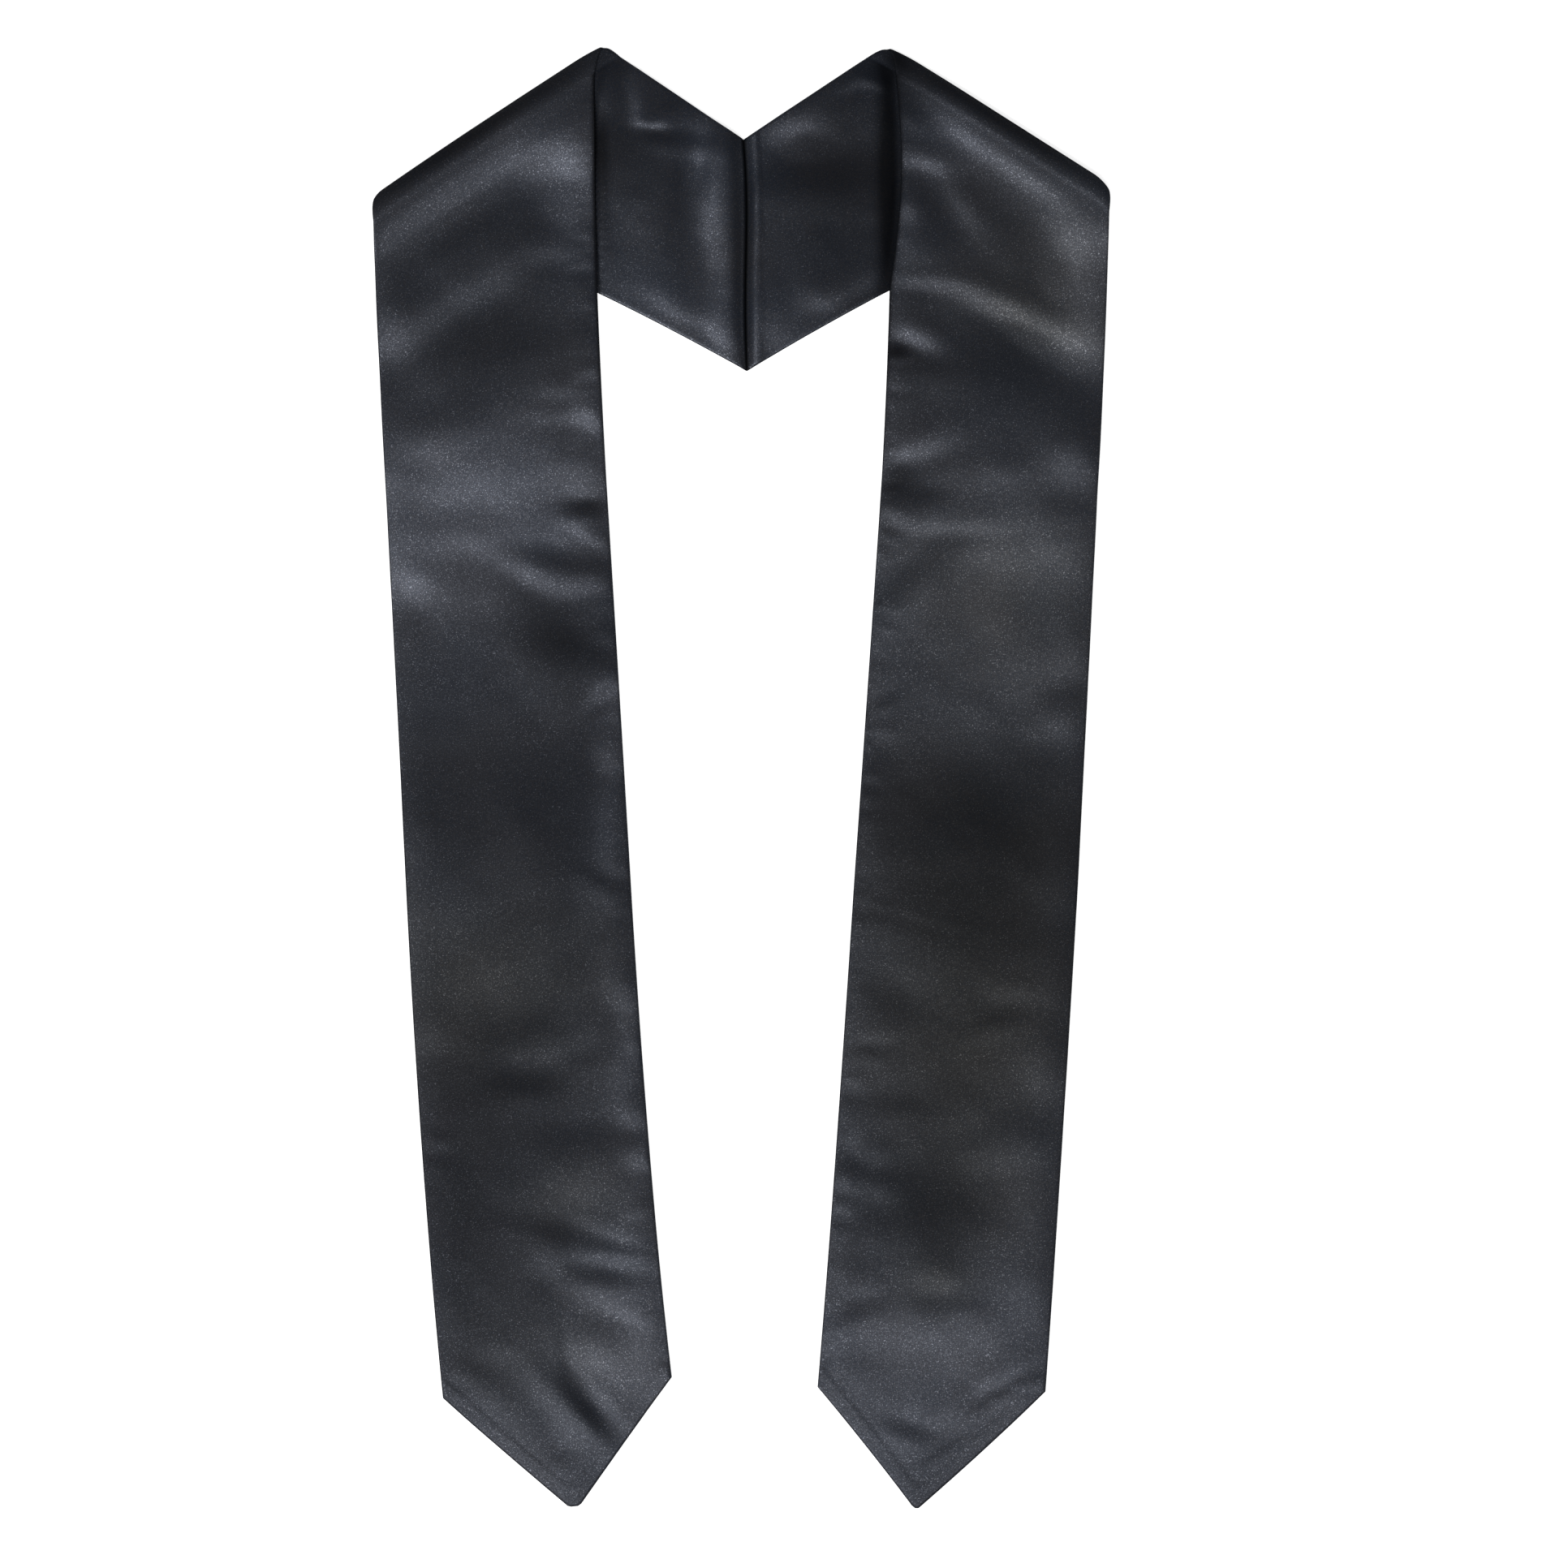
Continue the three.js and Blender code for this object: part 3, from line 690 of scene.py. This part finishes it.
def roll_net(half, s, to_frame):
    """The shoulder fold, from the neck up and over to the panel."""
    share = np.linspace(0, 1, FOLD_STEPS + 1)[:-1, None]
    angle = math.pi * (share - 0.5)
    height = half.roll_height(s)
    out_x, out_y = height / 2 * np.cos(angle), ROLL_DEPTH * np.sin(angle)
    size = np.hypot(out_x, out_y)
    round_x = ROLL_DEPTH * np.cos(angle) + LAID * out_x / size
    round_y = height / 2 * np.sin(angle) + LAID * out_y / size
    top_x, top_y = half.panel(half.top(s), s)
    end_x, end_y = half.neck_end(s)
    reach = half.lay["peak_reach"] * half.peak(s) * np.cos(angle)
    direction, normal = half.fold_direction, half.fold_normal
    x = top_x * share + end_x * (1 - share) - direction[0] * reach + normal[0] * round_x
    y = top_y * share + end_y * (1 - share) - direction[1] * reach + normal[1] * round_x
    none = np.zeros_like(x)
    z = 2 * LAID + height / 2 + round_y + none
    edge = np.minimum(s, 1 - s) * half.width(0) + none
    # Painted highlights and painted shade from the patches
    painted_light_share = gloss(PANEL_PAINTED_LIGHT[half.name], *to_frame(x, y))
    warm = warmth(WARM_PATCHES[half.name], *to_frame(x, y))
    return dict(x=x, y=y, z=z, face=none, backing=none, edge=edge, gloss=painted_light_share, warmth=warm)


def panel_net(half, s, to_frame):
    """The panel, from the shoulder fold to the pointed end."""
    seed = half.lay["seed"]
    mean_length = half.panel_length - half.top(0.5)
    v = (spread(mean_length, first=[0]) / mean_length)[:, None]
    top, end = half.top(s), half.end(s)
    l = top * (1 - v) + end * v
    x, y = half.panel(l, s)
    from_inner = s * half.width(l)
    to_side = np.minimum(s, 1 - s) * half.width(l)
    to_end = (end - l) * math.sqrt(0.5)
    opened = parting(to_side) * parting(to_end / 2)
    neck_u = np.clip(x / half.neck_end(1)[0], 0, 1)
    past_neck = half.neck(1, neck_u)[1] - y
    stacked = 1 - smoothstep(past_neck, SAG_MARGIN, SAG_MARGIN + SAG_RUN)

    run = smoothstep(l - top, ROLL_REACH / 2, SHOULDER_RUN)
    height = SHOULDER_SWELL + (SWELL - SHOULDER_SWELL) * run
    height += fold_heights(PANEL_FOLDS[half.name], *to_frame(x, y))
    height += waves(PANEL_WAVES, x, y, seed + 2)
    height = smooth_floor(height) * edge_swell(opened)
    rest = LAID + (STRIP + CROSSING_GAP[half.name]) * stacked
    down = (smoothstep(l - top, 0, ROLL_REACH) + smoothstep(l - top, *half.lay["arc"])) / 2
    z = (3 * LAID + half.roll_height(s)) * (1 - down) + (rest + height) * down
    z -= ROLL_BRINK[1] * smoothstep(l - top, 0, ROLL_BRINK[0]) * (1 - down)

    lift = PANEL_PUFF * opened * smoothstep(l - top, ROLL_REACH / 2, 1.5 * ROLL_REACH)
    pucker = PUCKER_RISE * waves(PUCKERS, l, 0 * l, seed + 4)
    lift += pucker * smoothstep(from_inner, 0, PUCKER_START) * np.exp(-from_inner / PUCKER_REACH)
    hem = 1 - smoothstep(to_end, HEM - HEM_STEP[0], HEM + HEM_STEP[1])
    hem = smoothstep(to_end, 0, HEM_EDGE) * hem
    lift += HEM_RISE * hem * smoothstep(to_side, 0, HEM_SIDE)
    lift = np.maximum(lift, 0)

    # Painted highlights and painted shade from the patches
    painted_light_share = gloss(PANEL_PAINTED_LIGHT[half.name], *to_frame(x, y))
    # Painted shade along the inner edge where it crosses the neck
    painted_light_share *= 1 - CROSSING_PAINTED_SHADE * stacked * np.exp(-((from_inner / CROSSING_PAINTED_SHADE_RUN) ** 2))
    warm = warmth(WARM_PATCHES[half.name], *to_frame(x, y))
    edge, none = np.minimum(to_side, to_end), np.zeros_like(x)
    return dict(x=x, y=y, z=z, face=lift, backing=none, edge=edge, gloss=painted_light_share, warmth=warm)


def strip_net(half, shift):
    """Points of a half between its two layers, how far each layer stands off them, how far
    the nearest edge is, and the painted light and shade and the warmth of its satin."""
    s = spread(WIDTH)[None, :] / WIDTH
    to_frame = lambda x, y: (half.side * x - shift[0], y - shift[1])
    nets = [part(half, s, to_frame) for part in (neck_net, roll_net, panel_net)]
    return {key: np.concatenate([net[key] for net in nets]) for key in nets[0]}


def net_normals(x, y, z):
    points = np.stack([x, y, z], axis=-1)
    along = np.gradient(points, axis=0)
    across = np.gradient(points, axis=1)
    normals = np.cross(along, across)
    return points, normals / np.linalg.norm(normals, axis=-1, keepdims=True)


def cloth_mesh(name, net, layer, side, shift):
    """A closed layer of cloth beside the net."""
    points, normals = net_normals(net["x"], net["y"], net["z"])
    sign = 1 if layer == "face" else -1
    rounding = rim(net["edge"])[..., None]
    outer = RIM_REACH + (LAID - RIM_REACH) * rounding + net[layer][..., None]
    inner = outer - CLOTH * (RIM_CLOTH + (1 - RIM_CLOTH) * rounding)
    sheets = [points + sign * normals * reach for reach in (outer, inner)]
    rows, columns = net["x"].shape
    vertices = np.concatenate([sheet.reshape(-1, 3) for sheet in sheets])
    vertices = (vertices * [side, 1, 1] - [shift[0], shift[1], 0]) * MM

    index = np.arange(rows * columns).reshape(rows, columns)
    quads = np.stack([index[:-1, :-1], index[1:, :-1], index[1:, 1:], index[:-1, 1:]], axis=-1)
    quads = quads.reshape(-1, 4)
    loop = np.concatenate([index[0, :-1], index[:-1, -1], index[-1, :0:-1], index[:0:-1, 0]])
    following = np.roll(loop, -1)
    count = rows * columns
    border = np.stack([loop, following, following + count, loop + count], axis=-1)
    faces = np.concatenate([quads, quads[:, ::-1] + count, border])
    if sign * side < 0:
        faces = faces[:, ::-1]

    mesh = bpy.data.meshes.new(name)
    mesh.from_pydata(vertices.tolist(), [], faces.tolist())
    mesh.shade_smooth()
    length = np.cumsum(np.hypot(*(np.diff(net[key][:, columns // 2], prepend=0) for key in "xy")))
    u = np.repeat(length, columns) * MM
    v = np.tile(spread(WIDTH), rows) * MM
    places = np.tile(np.stack([u, v], axis=-1), (2, 1))
    corners = np.empty(len(mesh.loops), int)
    mesh.loops.foreach_get("vertex_index", corners)
    layer_uv = mesh.uv_layers.new(name="weave")
    layer_uv.data.foreach_set("uv", places[corners].ravel())
    for key in ("gloss", "warmth"):
        shares = mesh.attributes.new(key, "FLOAT", "POINT")
        shares.data.foreach_set("value", np.tile(net[key].ravel(), 2))
    return mesh


class Shading:
    """Short names for the nodes of one material."""

    def __init__(self, name):
        self.material = bpy.data.materials.new(name)
        self.material.use_nodes = True
        self.nodes = self.material.node_tree.nodes
        self.links = self.material.node_tree.links
        self.shader = self.nodes["Principled BSDF"]
        self.place = self.nodes.new("ShaderNodeTexCoord").outputs["Object"]

    def noise(self, size, detail=0):
        """Noise whose cells are a size in millimetres wide."""
        node = self.nodes.new("ShaderNodeTexNoise")
        node.inputs["Scale"].default_value = 1 / (size * MM)
        node.inputs["Detail"].default_value = detail
        self.links.new(self.place, node.inputs["Vector"])
        return node.outputs["Fac"]

    def remap(self, value, low, high, to_low, to_high):
        node = self.nodes.new("ShaderNodeMapRange")
        node.inputs["From Min"].default_value = low
        node.inputs["From Max"].default_value = high
        node.inputs["To Min"].default_value = to_low
        node.inputs["To Max"].default_value = to_high
        self.links.new(value, node.inputs["Value"])
        return node.outputs["Result"]

    def combine(self, operation, first, second):
        node = self.nodes.new("ShaderNodeMath")
        node.operation = operation
        self.links.new(first, node.inputs[0])
        self.links.new(second, node.inputs[1])
        return node.outputs["Value"]

    def add(self, first, second):
        return self.combine("ADD", first, second)

    def square(self, value):
        return self.combine("MULTIPLY", value, value)

    def mix(self, share, first, second):
        node = self.nodes.new("ShaderNodeMix")
        node.data_type = "RGBA"
        node.clamp_factor = False
        node.inputs["A"].default_value = (*first, 1)
        node.inputs["B"].default_value = (*second, 1)
        self.links.new(share, node.inputs["Factor"])
        return node.outputs["Result"]

    def attribute(self, name):
        node = self.nodes.new("ShaderNodeAttribute")
        node.attribute_name = name
        return node.outputs["Fac"]

    def multiply(self, first, second):
        node = self.nodes.new("ShaderNodeVectorMath")
        node.operation = "MULTIPLY"
        self.links.new(first, node.inputs[0])
        self.links.new(second, node.inputs[1])
        return node.outputs["Vector"]

    def scale(self, colour, factor):
        node = self.nodes.new("ShaderNodeVectorMath")
        node.operation = "SCALE"
        self.links.new(colour, node.inputs[0])
        self.links.new(factor, node.inputs["Scale"])
        return node.outputs["Vector"]

    def feed(self, value, socket):
        self.links.new(value, self.shader.inputs[socket])


def satin(name, cool, warm, roughness):
    """Black satin: a dark body that is cooler in places, a fine grain where threads glint one
    by one, and a smooth haze over it. The mesh carries painted highlights and painted shade,
    which scale the body colour and the gloss, and says where the cloth is warmer."""
    cloth = Shading(name)
    shader = cloth.shader
    shader.inputs["Specular IOR Level"].default_value = 1
    shader.inputs["Anisotropic"].default_value = DRAWN_OUT
    shader.inputs["Roughness"].default_value = roughness
    shader.inputs["Coat Weight"].default_value = HAZE
    shader.inputs["Coat Roughness"].default_value = HAZE_ROUGHNESS
    # Painted light and shade from the mesh: it scales the body colour, and its square the gloss
    share = cloth.attribute("gloss")
    tint = cloth.mix(cloth.attribute("warmth"), *HUES)
    hue = cloth.add(cloth.noise(HUE_GRAIN), cloth.noise(HUE_PATCH, 1))
    body = cloth.multiply(cloth.mix(cloth.remap(hue, *HUE_SHIFT), cool, warm), tint)
    cloth.feed(cloth.scale(body, share), "Base Color")
    grain = cloth.noise(GRAIN, 1)
    glint = cloth.square(cloth.remap(grain, *GLINT))
    glint = cloth.add(glint, cloth.remap(cloth.noise(SPARK), *SPARK_GLINT))
    threads = cloth.multiply(cloth.mix(glint, DULL_THREAD, BRIGHT_THREAD), tint)
    cloth.feed(cloth.scale(threads, cloth.square(share)), "Specular Tint")
    bump = cloth.nodes.new("ShaderNodeBump")
    bump.inputs["Strength"].default_value = 1
    bump.inputs["Distance"].default_value = GRAIN_DEPTH * MM
    cloth.links.new(grain, bump.inputs["Height"])
    tangent = cloth.nodes.new("ShaderNodeTangent")
    tangent.direction_type = "UV_MAP"
    tangent.uv_map = "weave"
    cloth.feed(bump.outputs["Normal"], "Normal")
    cloth.feed(tangent.outputs["Tangent"], "Tangent")
    return cloth.material


def add_object(name, data):
    piece = bpy.data.objects.new(name, data)
    bpy.context.scene.collection.objects.link(piece)
    return piece


def build_stole():
    halves = [Half(name) for name in LAYS]
    plain = [strip_net(half, (0, 0)) for half in halves]
    xs = np.concatenate([(half.side * net["x"]).ravel() for half, net in zip(halves, plain)])
    ys = np.concatenate([net["y"].ravel() for net in plain])
    shift = ((xs.min() + xs.max()) / 2, (ys.min() + ys.max()) / 2)
    materials = {layer: satin(f"satin_{layer}", **looks) for layer, looks in SATINS.items()}
    for half in halves:
        net = strip_net(half, shift)
        for layer, material in materials.items():
            node = f"{half.name}_{layer}"
            piece = add_object(f"{node}_satin", cloth_mesh(node, net, layer, half.side, shift))
            piece.data.materials.append(material)
            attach(piece, "root")
            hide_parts(node)


def build_floor():
    reach = FLOOR_SIDE / 2
    mesh = bpy.data.meshes.new("floor")
    corners = [(-reach, -reach, 0), (reach, -reach, 0), (reach, reach, 0), (-reach, reach, 0)]
    mesh.from_pydata(corners, [], [(0, 1, 2, 3)])
    floor = add_object("floor", mesh)
    floor.location.z = -FLOOR_DROP
    floor.visible_glossy = False  # the cloth's turned edges don't mirror it
    material = bpy.data.materials.new("pale_floor")
    material.use_nodes = True
    shader = material.node_tree.nodes["Principled BSDF"]
    shader.inputs["Base Color"].default_value = (FLOOR_GREY, FLOOR_GREY, FLOOR_GREY, 1)
    shader.inputs["Roughness"].default_value = 0.9
    shader.inputs["Emission Color"].default_value = (1, 1, 1, 1)
    shader.inputs["Emission Strength"].default_value = FLOOR_GLOW
    mesh.materials.append(material)
    floor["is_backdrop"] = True


def area_light(name, place, size, power):
    """A lamp that is turned to the middle of the stole."""
    light = bpy.data.lights.new(name, "AREA")
    light.shape = "RECTANGLE"
    light.size, light.size_y = size
    light.energy = power
    lamp = add_object(name, light)
    lamp.location = place
    towards = Vector((0, 0, 0)) - Vector(place)
    lamp.rotation_euler = towards.to_track_quat("-Z", "Y").to_euler()


def build_light():
    world = bpy.data.worlds.new("studio")
    bpy.context.scene.world = world
    world.use_nodes = True
    background = world.node_tree.nodes["Background"]
    background.inputs["Color"].default_value = (1, 1, 1, 1)
    background.inputs["Strength"].default_value = WORLD_LIGHT
    for name, lamp in LAMPS.items():
        area_light(name, *lamp)
    bpy.context.scene.view_settings.view_transform = "Standard"


def build_camera():
    """Straight above, as the photograph was taken, framed as it is."""
    centre = frame_point(PHOTO_SIDE / 2, PHOTO_SIDE / 2)
    camera = bpy.data.cameras.new("camera")
    camera.lens = camera.sensor_width * CAMERA_HEIGHT / (PHOTO_SIDE * PIXEL * MM)
    viewer = add_object("camera", camera)
    viewer.location = (centre[0] * MM, centre[1] * MM, CAMERA_HEIGHT)
    bpy.context.scene.camera = viewer


build_camera()
build_floor()
build_light()
build_stole()

sizes = {"cad": [list(corner) for corner in cad_box]}
sizes["visual"] = [list(corner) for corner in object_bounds()]
